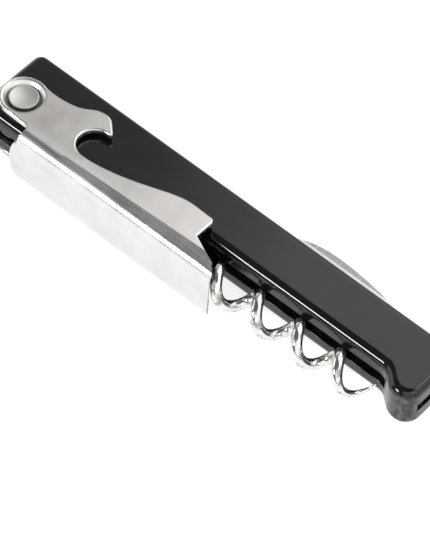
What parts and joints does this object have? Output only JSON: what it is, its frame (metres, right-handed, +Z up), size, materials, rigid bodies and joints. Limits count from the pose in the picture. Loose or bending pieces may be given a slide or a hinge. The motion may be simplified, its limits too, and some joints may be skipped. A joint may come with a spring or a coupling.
{
  "type": "lever corkscrew",
  "caption": "Folding waiter's corkscrew with a black plastic handle, a nickel-plated lever with a cap lifter, a wire worm and a foil knife.",
  "frame": {"origin": "under the middle of the bounding box, on the plane that the folded corkscrew lies on", "axes": "+X along the handle from the lever's rivet to the hook, +Y from the worm's side to the knife's side, +Z up through the handle's thickness"},
  "size_m": [0.1118, 0.0252, 0.0143],
  "materials": {
    "handle_plastic": "glossy black, moulded",
    "lever_nickel": "satin nickel plate",
    "rivet_nickel": "bright nickel plate",
    "worm_chrome": "bright chrome plate",
    "blade_steel": "ground steel",
    "spring_steel": "plain spring steel",
    "pin_steel": "plain steel"
  },
  "bodies": {
    "handle": {"handle": "handle_plastic", "lever_rivet": "rivet_nickel", "worm_pin": "pin_steel", "knife_pin": "pin_steel", "worm_spring": "spring_steel", "worm_spring_pin": "pin_steel", "knife_spring": "spring_steel", "knife_spring_pin": "pin_steel"},
    "lever": {"lever": "lever_nickel"},
    "worm": {"worm": "worm_chrome"},
    "knife": {"knife": "blade_steel"}
  },
  "joints": [
    {"name": "lever_swing", "type": "hinge", "parent": "handle", "child": "lever", "pos_m": [-0.049, -0.00392, 0.00713], "axis": [0, 0, -1], "range_deg": [0, 150]},
    {"name": "worm_swing", "type": "hinge", "parent": "handle", "child": "worm", "pos_m": [-0.01, -0.00558, 0.00713], "axis": [0, 0, -1], "range_deg": [0, 90]},
    {"name": "knife_swing", "type": "hinge", "parent": "handle", "child": "knife", "pos_m": [0.048, 0.00367, 0.00713], "axis": [0, 0, -1], "range_deg": [0, 180]}
  ],
  "couplings": [
    {"joint": "worm_swing", "follows": "lever_swing", "ratio": 0.6}
  ]
}
